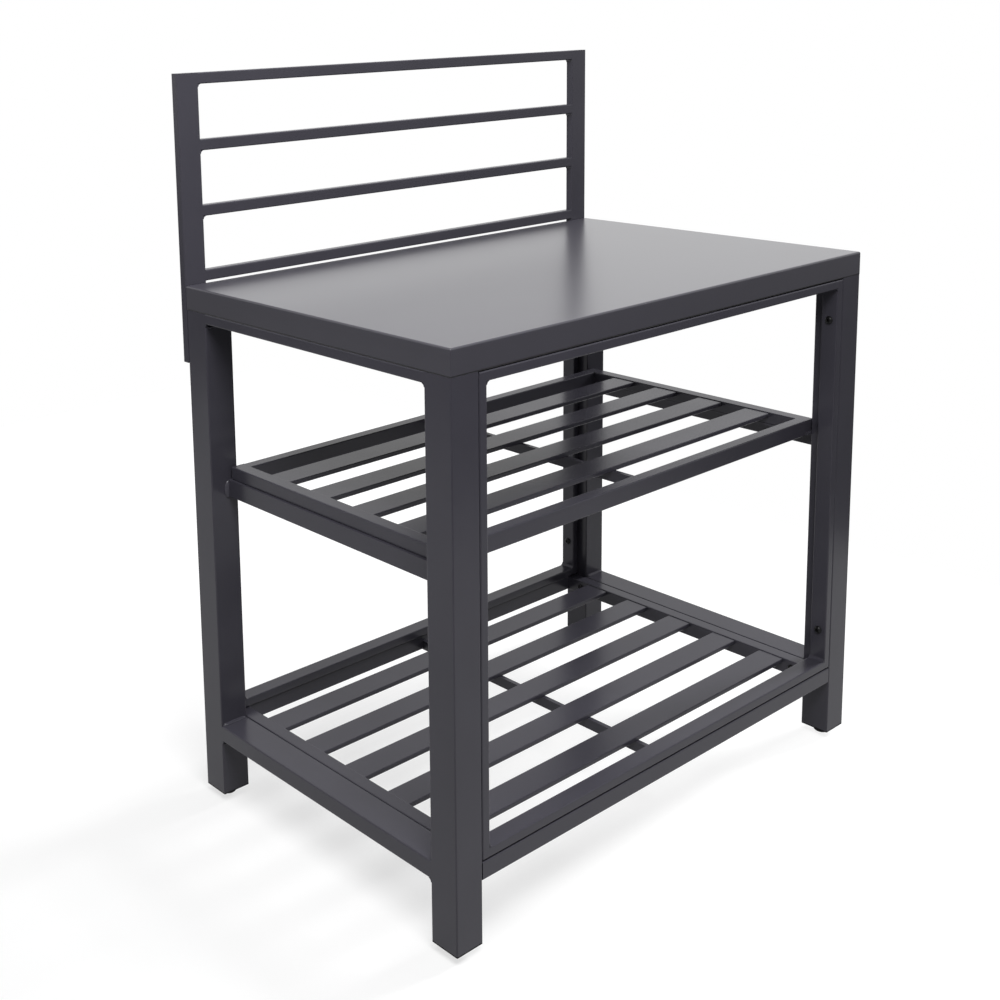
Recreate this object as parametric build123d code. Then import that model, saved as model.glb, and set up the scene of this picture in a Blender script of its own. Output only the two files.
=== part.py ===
"""Outdoor kitchen prep table: a bolted tube frame with a folded worktop, two slatted shelves
and a railed backsplash.

Millimetres, +Z up. Everything is laid out from the front left corner of the footprint at the
floor, and save() moves it so that the origin is at the middle of the footprint, on the floor.
"""

import os

from build123d import *

# Worktop
WIDTH = 1000.0
DEPTH = 620.0
HEIGHT = 903.0
SKIRT = 40.0
SHEET = 1.5
RETURN_FLANGE = 26.0
BEND_RADIUS = 3.0
LOWER_FOLD_RADIUS = 0.8
CORNER_RADIUS = 1.0
STIFFENER_COUNT = 2
STIFFENER_WIDTH = 40.0
STIFFENER_HEIGHT = 20.0

# Legs and end frames
LEG = 52.0
TUBE_WALL = 1.5
TUBE_RADIUS = 2.0
LOWER_SHELF_TOP = 141.0
LOWER_RAIL_HEIGHT = 28.0
WELD_RADIUS = 5.0
WELD_EDGE = 0.1
FLUSH_WELD_GAP = 0.02

# Bars of the front and rear frames, and of the end frames' top rails
BAR_WIDTH = 30.0
BAR_THICKNESS = 15.0
FRAME_GAP = 2.5
TOP_GAP = 2.0
FRAME_BOLT_INSET = 72.0

# Lower shelf
LOWER_RAIL_WIDTH = 25.0
LOWER_SLATS = 5
SHELF_BOLT_INSET = 8.0

# Middle shelf and the angle bars that carry it
MID_SHELF_TOP = 597.0
MID_END_WIDTH = 25.0
MID_END_HEIGHT = 22.0
MID_SIDE_WIDTH = 22.0
MID_SIDE_HEIGHT = 28.0
MID_SLATS = 4
MID_LEG_CLEARANCE = 5.0
MID_SIDE_CLEARANCE = 1.0
ANGLE_INSET = 33.0
ANGLE_SIZE = 29.0
ANGLE_THICKNESS = 4.0

# Slats and the bar under the middle of each shelf
SLAT_WIDTH = 50.0
SLAT_THICKNESS = 8.0
SLAT_WALL = 1.2
SLAT_RADIUS = 1.5
SLAT_DROP = 1.5
CENTRE_BAR = 8.0

# Backsplash
SPLASH_TOP = 1250.0
SPLASH_LAP = 131.0
SPLASH_THICKNESS = 15.0
UPRIGHT_WIDTH = 42.0
SPLASH_RAIL = 18.5
SPLASH_RAILS = 4
SPLASH_CLEARANCE = 2.4
SPLASH_BOLT_PITCH = 45.0
SPLASH_BOLT_INSET = 15.0

# Bolts, rivet nuts and spacers
BOLT = 8.0
BOLT_HEAD = 14.0
BOLT_HEAD_HEIGHT = 4.4
BOLT_SOCKET = 5.0
BOLT_SOCKET_DEPTH = 2.6
BOLT_REACH = 12.0
TOP_BOLT = 6.0
TOP_BOLT_HEAD = 10.5
TOP_BOLT_HEAD_HEIGHT = 3.3
TOP_BOLT_SOCKET = 4.0
TOP_BOLT_SOCKET_DEPTH = 2.0
TOP_BOLT_REACH = 8.0
NUT_FLANGE = 1.0
NUT_FLANGE_WIDTH = 14.0
NUT_BARREL = 11.0
NUT_LENGTH = 10.0
SPACER_WIDTH = 14.0
HOLE_CLEARANCE = 0.3

# Leg end caps and levelling feet
SPIGOT_DEPTH = 15.0
SPIGOT_WALL = 2.0
SPIGOT_CLEARANCE = 0.2
CAP_FLANGE = 2.0
CAP_BOSS = 16.0
FOOT_HEIGHT = 14.0
FOOT_WIDTH = 30.0
FOOT_ROUND = 7.5
FOOT_STEM = 8.0
FOOT_STEM_LENGTH = 34.0
FOOT_CLEARANCE = 0.3

# Heights and places that follow from the sizes above
LEG_BOTTOM = FOOT_HEIGHT + CAP_FLANGE
LEG_TOP = HEIGHT - SKIRT
FRAME_TOP = LEG_TOP - TOP_GAP
TOP_RAIL_BOTTOM = FRAME_TOP - BAR_THICKNESS
LOWER_RAIL_BOTTOM = LOWER_SHELF_TOP - LOWER_RAIL_HEIGHT
FRAME_BOTTOM = LOWER_SHELF_TOP + FRAME_GAP
STILE_START = LEG + NUT_FLANGE
STILE_END = STILE_START + BAR_THICKNESS
ANGLE_TOP = MID_SHELF_TOP - MID_END_HEIGHT
ANGLE_END = ANGLE_INSET + ANGLE_SIZE
MID_SIDE_START = ANGLE_END + MID_SIDE_CLEARANCE
MID_END_START = MID_SIDE_START - MID_END_WIDTH
MID_FRONT = LEG + MID_LEG_CLEARANCE
SPLASH_BOTTOM = HEIGHT - SPLASH_LAP
SPLASH_FRONT = DEPTH + NUT_FLANGE
SPLASH_BACK = SPLASH_FRONT + SPLASH_THICKNESS
TOTAL_DEPTH = SPLASH_BACK + BOLT_HEAD_HEIGHT
BOLT_HOLE = BOLT / 2 + HOLE_CLEARANCE
TOP_BOLT_HOLE = TOP_BOLT / 2 + HOLE_CLEARANCE
NUT_HOLE = NUT_BARREL / 2 + HOLE_CLEARANCE

DIRECTIONS = {"x": Vector(1, 0, 0), "y": Vector(0, 1, 0), "z": Vector(0, 0, 1)}
LEFT = Align.MIN
CENTRE = Align.CENTER


def save(name, *pieces):
    """Move pieces from the front left corner to the middle of the footprint and write one node."""
    to_middle = Pos(-WIDTH / 2, -TOTAL_DEPTH / 2, 0)
    solids = [solid for piece in pieces for solid in (to_middle * piece).solids()]
    export_step(Compound(solids), f"parts/{name}.step")


def block(low, high):
    """Plain block between two corners."""
    size = [b - a for a, b in zip(low, high)]
    return Pos(*low) * Box(*size, align=(LEFT, LEFT, LEFT))


def tube(axis, low, high, wall=TUBE_WALL, radius=TUBE_RADIUS):
    """Rectangular tube between two corners, open at both ends of its axis."""
    index = "xyz".index(axis)
    across = [i for i in range(3) if i != index]
    size = [b - a for a, b in zip(low, high)]
    start = [(a + b) / 2 for a, b in zip(low, high)]
    start[index] = low[index]
    width = size[across[0]]
    height = size[across[1]]
    plane = Plane(origin=tuple(start), x_dir=DIRECTIONS["xyz"[across[0]]], z_dir=DIRECTIONS[axis])
    section = RectangleRounded(width, height, radius) - Rectangle(width - 2 * wall, height - 2 * wall)
    return extrude(plane * section, amount=size[index])


def rod(start, direction, diameter, length):
    """Round rod from a point along a direction."""
    plane = Plane(origin=tuple(start), z_dir=direction)
    return extrude(plane * Circle(diameter / 2), amount=length)


def mirrored_x(shape):
    """The same piece on the other end of the table."""
    return mirror(shape, about=Plane(origin=(WIDTH / 2, 0, 0), z_dir=(1, 0, 0)))


def mirrored_y(shape):
    """The same piece on the other long side of the table."""
    return mirror(shape, about=Plane(origin=(0, DEPTH / 2, 0), z_dir=(0, 1, 0)))


def weld_fillet(corner, along_x, along_z, axis, length):
    """Concave weld in an inside corner.

    The corner point is where the two faces meet, along_x and along_z are the signed directions
    of the two faces from it, and the fillet runs for its length along the axis.
    """
    flat = DIRECTIONS["y"] if axis == "x" else DIRECTIONS["x"]
    plane = Plane(origin=tuple(corner), x_dir=flat * along_x, z_dir=DIRECTIONS[axis])
    turn = 1 if plane.y_dir.Z * along_z > 0 else -1
    square = Pos(WELD_RADIUS / 2, turn * WELD_RADIUS / 2) * Rectangle(WELD_RADIUS, WELD_RADIUS)
    reach = WELD_RADIUS + WELD_EDGE
    section = square - Pos(reach, turn * reach) * Circle(WELD_RADIUS)
    return extrude(plane * section, amount=length)


def flush_weld(corner, first, second, length):
    """Weld ground flush in the groove beside a tube's rounded edge.

    The corner is where the tube's two faces would meet without the rounding, first and second
    point from it along those faces, and the weld runs for its length along first cross second.
    """
    plane = Plane(origin=tuple(corner), x_dir=first, z_dir=first.cross(second))
    square = Pos(TUBE_RADIUS / 2, TUBE_RADIUS / 2) * Rectangle(TUBE_RADIUS, TUBE_RADIUS)
    edge = Pos(TUBE_RADIUS, TUBE_RADIUS) * Circle(TUBE_RADIUS + FLUSH_WELD_GAP)
    return extrude(plane * (square - edge), amount=length)


def end_plate(axis, low, high):
    """Plate that closes a tube's end, inside its wall; the corners are those of the tube's end."""
    inset = [0 if "xyz"[i] == axis else TUBE_WALL for i in range(3)]
    return block([a + i for a, i in zip(low, inset)], [b - i for b, i in zip(high, inset)])


def mitred(bar, corner, away):
    """Bar cut at 45 degrees through its frame's outer corner; away points to the side that stays."""
    return split(bar, bisect_by=Plane(origin=tuple(corner), z_dir=away), keep=Keep.TOP)


def button_bolt(seat, direction, grip, small=False):
    """Button head socket bolt, with its head's underside at the seat and its head along direction."""
    diameter = TOP_BOLT if small else BOLT
    head = TOP_BOLT_HEAD if small else BOLT_HEAD
    head_height = TOP_BOLT_HEAD_HEIGHT if small else BOLT_HEAD_HEIGHT
    socket = TOP_BOLT_SOCKET if small else BOLT_SOCKET
    socket_depth = TOP_BOLT_SOCKET_DEPTH if small else BOLT_SOCKET_DEPTH
    rim = head_height / 5
    crown = head / 4
    outline = Polyline((0, -grip), (diameter / 2, -grip), (diameter / 2, 0), (head / 2, 0), (head / 2, rim))
    dome = TangentArc((head / 2, rim), (crown, head_height), tangent=(-0.35, 1))
    closing = Polyline((crown, head_height), (0, head_height), (0, -grip))
    body = revolve(make_face(Plane.XZ * (outline + dome + closing)), axis=Axis.Z)
    recess = extrude(RegularPolygon(socket / 2, 6, major_radius=False), amount=socket_depth)
    body -= Pos(0, 0, head_height - socket_depth) * recess
    return Plane(origin=tuple(seat), z_dir=direction).location * body


def rivet_nut(face, direction):
    """Flanged rivet nut on a tube's face, with its barrel inside the tube; direction points out."""
    plane = Plane(origin=tuple(face), z_dir=direction)
    nut = extrude(plane * Circle(NUT_FLANGE_WIDTH / 2), amount=NUT_FLANGE)
    nut += extrude(plane * Circle(NUT_BARREL / 2), amount=-NUT_LENGTH)
    return nut - rod(face - direction * NUT_LENGTH, direction, 2 * BOLT_HOLE, NUT_LENGTH + NUT_FLANGE)


def frame_bolt_points():
    """Seats of the bolts in the left stile of the front frame, on the tube's inner face."""
    heights = (FRAME_BOTTOM + FRAME_BOLT_INSET, FRAME_TOP - FRAME_BOLT_INSET)
    return [Vector(STILE_END, BAR_WIDTH / 2, z) for z in heights]


def shelf_bolt_point():
    """Seat of the front left bolt of the lower shelf, on its end rail's inner face."""
    height = LOWER_RAIL_BOTTOM + LOWER_RAIL_HEIGHT / 2
    return Vector(STILE_START + LOWER_RAIL_WIDTH, LEG + SHELF_BOLT_INSET, height)


def splash_bolt_points():
    """Seats of the bolts in the left upright, on its back face."""
    start = SPLASH_BOTTOM + SPLASH_BOLT_INSET
    return [Vector(UPRIGHT_WIDTH / 2, SPLASH_BACK, start + i * SPLASH_BOLT_PITCH) for i in range(2)]


def top_bolt_points():
    """Seats of the worktop bolts, under the front rail and under the left end rail."""
    front = Vector(WIDTH / 2, BAR_WIDTH / 2, TOP_RAIL_BOTTOM)
    left = Vector(BAR_WIDTH / 2, DEPTH / 2, TOP_RAIL_BOTTOM)
    return front, left


def on_both_sides(seats):
    """Seats of fasteners, each a point and a direction, with their reflections on the other end."""
    far = [(Vector(WIDTH - p.X, p.Y, p.Z), Vector(-d.X, d.Y, d.Z)) for p, d in seats]
    return [*seats, *far]


def on_both_faces(seats):
    """Seats of fasteners with their reflections on the other long side of the table."""
    far = [(Vector(p.X, DEPTH - p.Y, p.Z), Vector(d.X, -d.Y, d.Z)) for p, d in seats]
    return [*seats, *far]


def worktop_bolt_seats():
    """Seats of the worktop bolts, heads pointing down: those in the frames, then those in the ends."""
    front, left = top_bolt_points()
    down = Vector(0, 0, -1)
    return on_both_faces([(front, down)]), on_both_sides([(left, down)])


def worktop():
    """Folded tray: a sheet with a skirt all round and a flange turned in under it."""
    tray = block((0, 0, HEIGHT - SKIRT), (WIDTH, DEPTH, HEIGHT))
    tray = fillet(tray.edges().filter_by(Axis.Z), CORNER_RADIUS)
    tray = fillet(tray.edges().group_by(Axis.Z)[-1], BEND_RADIUS)
    tray = fillet(tray.edges().group_by(Axis.Z)[0], LOWER_FOLD_RADIUS)
    hollow = block(
        (SHEET, SHEET, HEIGHT - SKIRT + SHEET),
        (WIDTH - SHEET, DEPTH - SHEET, HEIGHT - SHEET),
    )
    hollow = fillet(hollow.edges().group_by(Axis.Z)[-1], BEND_RADIUS - SHEET)
    mouth = block(
        (RETURN_FLANGE, RETURN_FLANGE, HEIGHT - SKIRT),
        (WIDTH - RETURN_FLANGE, DEPTH - RETURN_FLANGE, HEIGHT - SKIRT + SHEET),
    )
    tray = tray - hollow - mouth
    in_frames, in_ends = worktop_bolt_seats()
    for point, _ in in_frames + in_ends:
        tray -= rod(point, DIRECTIONS["z"], 2 * TOP_BOLT_HOLE, SKIRT)
    return tray


def stiffener(index):
    """Channel under the worktop, from the front flange to the rear one, open side up."""
    middle = WIDTH * (index + 1) / (STIFFENER_COUNT + 1)
    top = HEIGHT - SHEET
    low = (middle - STIFFENER_WIDTH / 2, RETURN_FLANGE, top - STIFFENER_HEIGHT)
    high = (middle + STIFFENER_WIDTH / 2, DEPTH - RETURN_FLANGE, top)
    trough = block(
        (low[0] + SHEET, low[1], low[2] + SHEET),
        (high[0] - SHEET, high[1], high[2]),
    )
    return block(low, high) - trough


def leg(rear):
    """Left leg, front or rear: a square tube with the holes for its rivet nuts."""
    tube_leg = tube("z", (0, 0, LEG_BOTTOM), (LEG, LEG, LEG_TOP))
    for point in frame_bolt_points():
        start = (LEG / 2, point.Y, point.Z)
        tube_leg -= rod(start, DIRECTIONS["x"], 2 * NUT_HOLE, LEG)
    if not rear:
        return tube_leg
    tube_leg = mirrored_y(tube_leg)
    for point in splash_bolt_points():
        start = (point.X, DEPTH - LEG / 2, point.Z)
        tube_leg -= rod(start, DIRECTIONS["y"], 2 * NUT_HOLE, LEG)
    return tube_leg


def leg_welds(bottom, top, width):
    """Welds of a left end rail to both legs: a fillet under it and a flush weld on its outer face."""
    under = weld_fillet((0, LEG, bottom), 1, -1, "x", width)
    outer = flush_weld((0, LEG, top), DIRECTIONS["x"], -DIRECTIONS["y"], top - bottom + WELD_RADIUS)
    return [under, outer, mirrored_y(under), mirrored_y(outer)]


def end_top_rail():
    """Left end frame's top rail, with the welds to both legs and the bolt hole."""
    rail = tube("y", (0, LEG, TOP_RAIL_BOTTOM), (BAR_WIDTH, DEPTH - LEG, LEG_TOP))
    rail += leg_welds(TOP_RAIL_BOTTOM, LEG_TOP, BAR_WIDTH)
    left = top_bolt_points()[1]
    return rail - rod(left, DIRECTIONS["z"], 2 * TOP_BOLT_HOLE, LEG_TOP - TOP_RAIL_BOTTOM)


def end_bottom_rail():
    """Left end frame's bottom rail, with the welds to both legs and the nut holes."""
    rail = tube("y", (0, LEG, LOWER_RAIL_BOTTOM), (LEG, DEPTH - LEG, LOWER_SHELF_TOP))
    rail += leg_welds(LOWER_RAIL_BOTTOM, LOWER_SHELF_TOP, LEG)
    point = shelf_bolt_point()
    for y in (point.Y, DEPTH - point.Y):
        rail -= rod((LEG / 2, y, point.Z), DIRECTIONS["x"], 2 * NUT_HOLE, LEG)
    return rail


def shelf_support():
    """Left angle bar: one leg flat under the shelf, the other hanging down on the outside."""
    low = (ANGLE_INSET, LEG, ANGLE_TOP - ANGLE_SIZE)
    high = (ANGLE_END, DEPTH - LEG, ANGLE_TOP)
    inside = block(
        (ANGLE_INSET + ANGLE_THICKNESS, LEG, low[2]),
        (ANGLE_END, DEPTH - LEG, ANGLE_TOP - ANGLE_THICKNESS),
    )
    bar = block(low, high) - inside
    bar += weld_fillet((ANGLE_INSET, LEG, low[2]), 1, -1, "x", ANGLE_THICKNESS)
    bar += weld_fillet((ANGLE_INSET, DEPTH - LEG, low[2]), -1, -1, "x", ANGLE_THICKNESS)
    return bar


def frame_stile():
    """Left upright bar of the front frame, mitred at both ends and drilled for its bolts."""
    stile = tube("z", (STILE_START, 0, FRAME_BOTTOM), (STILE_END, BAR_WIDTH, FRAME_TOP))
    stile = mitred(stile, (STILE_START, 0, FRAME_BOTTOM), Vector(-1, 0, 1))
    stile = mitred(stile, (STILE_START, 0, FRAME_TOP), Vector(-1, 0, -1))
    for point in frame_bolt_points():
        stile -= rod((STILE_START, point.Y, point.Z), DIRECTIONS["x"], 2 * BOLT_HOLE, BAR_THICKNESS)
    return stile


def frame_rail(bottom, weld_side):
    """Cross bar of the front frame, mitred, with its corner welds on the side of the opening."""
    top = bottom + BAR_THICKNESS
    inner, outer = (top, bottom) if weld_side > 0 else (bottom, top)
    rail = tube("x", (STILE_START, 0, bottom), (WIDTH - STILE_START, BAR_WIDTH, top))
    rail = mitred(rail, (STILE_START, 0, outer), Vector(1, 0, -weld_side))
    rail = mitred(rail, (WIDTH - STILE_START, 0, outer), Vector(-1, 0, -weld_side))
    weld = weld_fillet((STILE_END, 0, inner), 1, weld_side, "y", BAR_WIDTH)
    return rail + [weld, mirrored_x(weld)]


def frame_top_rail():
    """Top bar of the front frame, drilled for the worktop bolt."""
    front = top_bolt_points()[0]
    return frame_rail(TOP_RAIL_BOTTOM, -1) - rod(front, DIRECTIONS["z"], 2 * TOP_BOLT_HOLE, BAR_THICKNESS)


def slat_starts(front, back, count):
    """Front edges of slats spread with equal gaps between two rails."""
    gap = (back - front - count * SLAT_WIDTH) / (count + 1)
    return [front + gap + i * (SLAT_WIDTH + gap) for i in range(count)]


def slat(start, left, right, shelf_top):
    """Flat tube from one end rail to the other."""
    top = shelf_top - SLAT_DROP
    low = (left, start, top - SLAT_THICKNESS)
    high = (right, start + SLAT_WIDTH, top)
    return tube("x", low, high, SLAT_WALL, SLAT_RADIUS)


def centre_bar(front, back, shelf_top, shelf_bottom):
    """Flat bar on edge under the slats, from the front rail to the rear one."""
    low = ((WIDTH - CENTRE_BAR) / 2, front, shelf_bottom)
    high = ((WIDTH + CENTRE_BAR) / 2, back, shelf_top - SLAT_DROP - SLAT_THICKNESS)
    return block(low, high)


def save_lower_shelf():
    """Lower shelf: front and rear rails of full width, end rails between them, slats and bar."""
    inner_front = LOWER_RAIL_WIDTH
    inner_back = DEPTH - LOWER_RAIL_WIDTH
    inner_left = STILE_START + LOWER_RAIL_WIDTH
    far_end = WIDTH - STILE_START
    front = tube("x", (STILE_START, 0, LOWER_RAIL_BOTTOM), (far_end, inner_front, LOWER_SHELF_TOP))
    end_low = (STILE_START, inner_front, LOWER_RAIL_BOTTOM)
    end = tube("y", end_low, (inner_left, inner_back, LOWER_SHELF_TOP))
    point = shelf_bolt_point()
    for y in (point.Y, DEPTH - point.Y):
        end -= rod((STILE_START, y, point.Z), DIRECTIONS["x"], 2 * BOLT_HOLE, LOWER_RAIL_WIDTH)
    joint = (STILE_START, inner_front, LOWER_SHELF_TOP)
    weld = flush_weld(joint, -DIRECTIONS["y"], -DIRECTIONS["z"], LOWER_RAIL_WIDTH)
    end += [weld, mirrored_y(weld)]
    save("lower_shelf_front_rail", front)
    save("lower_shelf_rear_rail", mirrored_y(front))
    save("lower_shelf_left_rail", end)
    save("lower_shelf_right_rail", mirrored_x(end))
    for number, start in enumerate(slat_starts(inner_front, inner_back, LOWER_SLATS), 1):
        save(f"lower_shelf_slat_{number}", slat(start, inner_left, WIDTH - inner_left, LOWER_SHELF_TOP))
    save("lower_shelf_centre_bar", centre_bar(inner_front, inner_back, LOWER_SHELF_TOP, LOWER_RAIL_BOTTOM))


def save_mid_shelf():
    """Middle shelf: end rails that rest on the angle bars, deeper front and rear rails between them."""
    back = DEPTH - MID_FRONT
    inner_front = MID_FRONT + MID_SIDE_WIDTH
    inner_back = back - MID_SIDE_WIDTH
    side_bottom = MID_SHELF_TOP - MID_SIDE_HEIGHT
    side_end = WIDTH - MID_SIDE_START
    end_low = (MID_END_START, MID_FRONT, ANGLE_TOP)
    end = tube("y", end_low, (MID_SIDE_START, back, MID_SHELF_TOP))
    plate_back = MID_FRONT + TUBE_WALL
    plate = end_plate("y", end_low, (MID_SIDE_START, plate_back, MID_SHELF_TOP))
    end += [plate, mirrored_y(plate)]
    front = tube("x", (MID_SIDE_START, MID_FRONT, side_bottom), (side_end, inner_front, MID_SHELF_TOP))
    joint = (MID_SIDE_START, inner_front, MID_SHELF_TOP)
    weld = flush_weld(joint, -DIRECTIONS["x"], -DIRECTIONS["z"], MID_SIDE_WIDTH)
    front += [weld, mirrored_x(weld)]
    save("mid_shelf_left_rail", end)
    save("mid_shelf_right_rail", mirrored_x(end))
    save("mid_shelf_front_rail", front)
    save("mid_shelf_rear_rail", mirrored_y(front))
    for number, start in enumerate(slat_starts(inner_front, inner_back, MID_SLATS), 1):
        save(f"mid_shelf_slat_{number}", slat(start, MID_SIDE_START, side_end, MID_SHELF_TOP))
    save("mid_shelf_centre_bar", centre_bar(inner_front, inner_back, MID_SHELF_TOP, side_bottom))


def splash_upright():
    """Left upright of the backsplash: a tube closed at both ends and drilled for its bolts."""
    low = (0, SPLASH_FRONT, SPLASH_BOTTOM)
    high = (UPRIGHT_WIDTH, SPLASH_BACK, SPLASH_TOP)
    upright = tube("z", low, high)
    upright += end_plate("z", low, (UPRIGHT_WIDTH, SPLASH_BACK, SPLASH_BOTTOM + TUBE_WALL))
    upright += end_plate("z", (0, SPLASH_FRONT, SPLASH_TOP - TUBE_WALL), high)
    for point in splash_bolt_points():
        upright -= rod((point.X, SPLASH_FRONT, point.Z), DIRECTIONS["y"], 2 * BOLT_HOLE, SPLASH_THICKNESS)
    return upright


def splash_rail(index):
    """One rail of the backsplash, counted from the bottom, with its welds to the uprights."""
    lowest = HEIGHT + SPLASH_CLEARANCE
    pitch = (SPLASH_TOP - SPLASH_RAIL - lowest) / (SPLASH_RAILS - 1)
    bottom = lowest + index * pitch
    end = WIDTH - UPRIGHT_WIDTH
    rail = tube("x", (UPRIGHT_WIDTH, SPLASH_FRONT, bottom), (end, SPLASH_BACK, bottom + SPLASH_RAIL))
    weld_height = SPLASH_RAIL if index == 0 else SPLASH_RAIL + WELD_RADIUS
    top = bottom + SPLASH_RAIL
    inward = -DIRECTIONS["x"]
    welds = [
        flush_weld((UPRIGHT_WIDTH, SPLASH_FRONT, top), inward, DIRECTIONS["y"], weld_height),
        flush_weld((UPRIGHT_WIDTH, SPLASH_BACK, top - weld_height), inward, -DIRECTIONS["y"], weld_height),
    ]
    if index > 0:
        welds.append(weld_fillet((UPRIGHT_WIDTH, SPLASH_FRONT, bottom), 1, -1, "y", SPLASH_THICKNESS))
    return rail + welds + [mirrored_x(weld) for weld in welds]


def leg_end_cap():
    """Bottom cap of the front left leg: a flange, a hollow spigot and the foot's boss held by ribs."""
    spigot = LEG - 2 * TUBE_WALL - 2 * SPIGOT_CLEARANCE
    cavity = spigot - 2 * SPIGOT_WALL
    cap = extrude(RectangleRounded(LEG, LEG, TUBE_RADIUS), amount=-CAP_FLANGE)
    cap += extrude(Rectangle(spigot, spigot), amount=SPIGOT_DEPTH)
    cap -= Pos(0, 0, SPIGOT_WALL) * extrude(Rectangle(cavity, cavity), amount=SPIGOT_DEPTH - SPIGOT_WALL)
    cap += rod((0, 0, -CAP_FLANGE), DIRECTIONS["z"], CAP_BOSS, CAP_FLANGE + SPIGOT_DEPTH)
    for angle in (0, 90):
        rib = Box(cavity, SPIGOT_WALL, SPIGOT_DEPTH, align=(CENTRE, CENTRE, LEFT))
        cap += Rot(0, 0, angle) * rib
    bore = 2 * (FOOT_STEM / 2 + FOOT_CLEARANCE)
    cap -= rod((0, 0, -CAP_FLANGE), DIRECTIONS["z"], bore, CAP_FLANGE + SPIGOT_DEPTH)
    return Pos(LEG / 2, LEG / 2, LEG_BOTTOM) * cap


def levelling_foot():
    """Front left levelling foot: a bowl-shaped pad on a stem, screwed right in."""
    wide = FOOT_WIDTH / 2
    stem = FOOT_STEM / 2
    base = Line((0, 0), (wide - FOOT_ROUND, 0))
    bowl = TangentArc((wide - FOOT_ROUND, 0), (wide, FOOT_ROUND), tangent=(1, 0))
    rest = Polyline(
        (wide, FOOT_ROUND),
        (wide, FOOT_HEIGHT),
        (stem, FOOT_HEIGHT),
        (stem, FOOT_HEIGHT + FOOT_STEM_LENGTH),
        (0, FOOT_HEIGHT + FOOT_STEM_LENGTH),
        (0, 0),
    )
    foot = revolve(make_face(Plane.XZ * (base + bowl + rest)), axis=Axis.Z)
    return Pos(LEG / 2, LEG / 2, 0) * foot


def frame_bolts():
    """Bolts of the front and rear frames, heads inside the opening."""
    grip = BAR_THICKNESS + NUT_FLANGE + BOLT_REACH
    seats = on_both_faces(on_both_sides([(p, DIRECTIONS["x"]) for p in frame_bolt_points()]))
    return [button_bolt(point, direction, grip) for point, direction in seats]


def shelf_bolts():
    """Bolts of the lower shelf, heads inside its end rails."""
    grip = LOWER_RAIL_WIDTH + NUT_FLANGE + BOLT_REACH
    seats = on_both_faces(on_both_sides([(shelf_bolt_point(), DIRECTIONS["x"])]))
    return [button_bolt(point, direction, grip) for point, direction in seats]


def splash_bolts():
    """Bolts of the backsplash, heads on the back of its uprights."""
    grip = SPLASH_THICKNESS + NUT_FLANGE + BOLT_REACH
    seats = on_both_sides([(p, DIRECTIONS["y"]) for p in splash_bolt_points()])
    return [button_bolt(point, direction, grip) for point, direction in seats]


def rivet_nuts():
    """Rivet nuts in the legs and bottom rails, with the flanges that space the bolted pieces."""
    inner = [*frame_bolt_points(), shelf_bolt_point()]
    seats = on_both_faces([(Vector(LEG, p.Y, p.Z), DIRECTIONS["x"]) for p in inner])
    seats += [(Vector(p.X, DEPTH, p.Z), DIRECTIONS["y"]) for p in splash_bolt_points()]
    return [rivet_nut(point, direction) for point, direction in on_both_sides(seats)]


def worktop_bolts():
    """Bolts that hold the worktop's flange down on the top rails, heads underneath."""
    grip = BAR_THICKNESS + TOP_GAP + SHEET + TOP_BOLT_REACH
    in_frames, in_ends = worktop_bolt_seats()
    return [button_bolt(point, down, grip, small=True) for point, down in in_frames + in_ends]


def worktop_spacers():
    """Washers round the frames' worktop bolts, between the top rails and the flange."""
    ring = Circle(SPACER_WIDTH / 2) - Circle(TOP_BOLT_HOLE)
    washer = extrude(ring, amount=TOP_GAP)
    in_frames = worktop_bolt_seats()[0]
    return [Pos(point.X, point.Y, FRAME_TOP) * washer for point, _ in in_frames]


def at_corners(shape):
    """A front left piece and its mirror images at the other corners."""
    pair = [shape, mirrored_x(shape)]
    return [*pair, *[mirrored_y(s) for s in pair]]


def save_corners(name, shape):
    """Write one piece for each corner of the table."""
    places = ("front_left", "front_right", "rear_left", "rear_right")
    for place, piece in zip(places, at_corners(shape)):
        save(f"{name}_{place}", piece)


def save_pair(name, shape):
    """Write a left piece and its mirror image on the right."""
    save(f"{name}_left", shape)
    save(f"{name}_right", mirrored_x(shape))


def save_bolted_frames():
    """Write the bars of the front frame and of its mirror image at the rear."""
    bars = {
        "stile_left": frame_stile(),
        "stile_right": mirrored_x(frame_stile()),
        "top_rail": frame_top_rail(),
        "bottom_rail": frame_rail(FRAME_BOTTOM, 1),
    }
    for name, bar in bars.items():
        save(f"front_frame_{name}", bar)
        save(f"rear_frame_{name}", mirrored_y(bar))


def main():
    """Build every piece and write it."""
    os.makedirs("parts", exist_ok=True)
    save("worktop", worktop())
    for index in range(STIFFENER_COUNT):
        save(f"worktop_stiffener_{index + 1}", stiffener(index))
    save_pair("leg_front", leg(rear=False))
    save_pair("leg_rear", leg(rear=True))
    save_pair("end_top_rail", end_top_rail())
    save_pair("end_bottom_rail", end_bottom_rail())
    save_pair("shelf_support", shelf_support())
    save_bolted_frames()
    save_lower_shelf()
    save_mid_shelf()
    save_pair("backsplash_upright", splash_upright())
    for index in range(SPLASH_RAILS):
        save(f"backsplash_rail_{index + 1}", splash_rail(index))
    save("leg_end_caps", *at_corners(leg_end_cap()))
    save_corners("levelling_foot", levelling_foot())
    save("frame_bolts", *frame_bolts())
    save("lower_shelf_bolts", *shelf_bolts())
    save("backsplash_bolts", *splash_bolts())
    save("rivet_nuts", *rivet_nuts())
    save("worktop_bolts", *worktop_bolts())
    save("worktop_spacers", *worktop_spacers())


main()
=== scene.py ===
"""Looks of an outdoor kitchen prep table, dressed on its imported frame.

The table has square tube legs, a folded metal worktop, two slatted shelves and a railed backsplash.
"""

import logging
import math
from dataclasses import dataclass
from enum import Enum
from typing import Iterable, Protocol, Sequence

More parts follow.
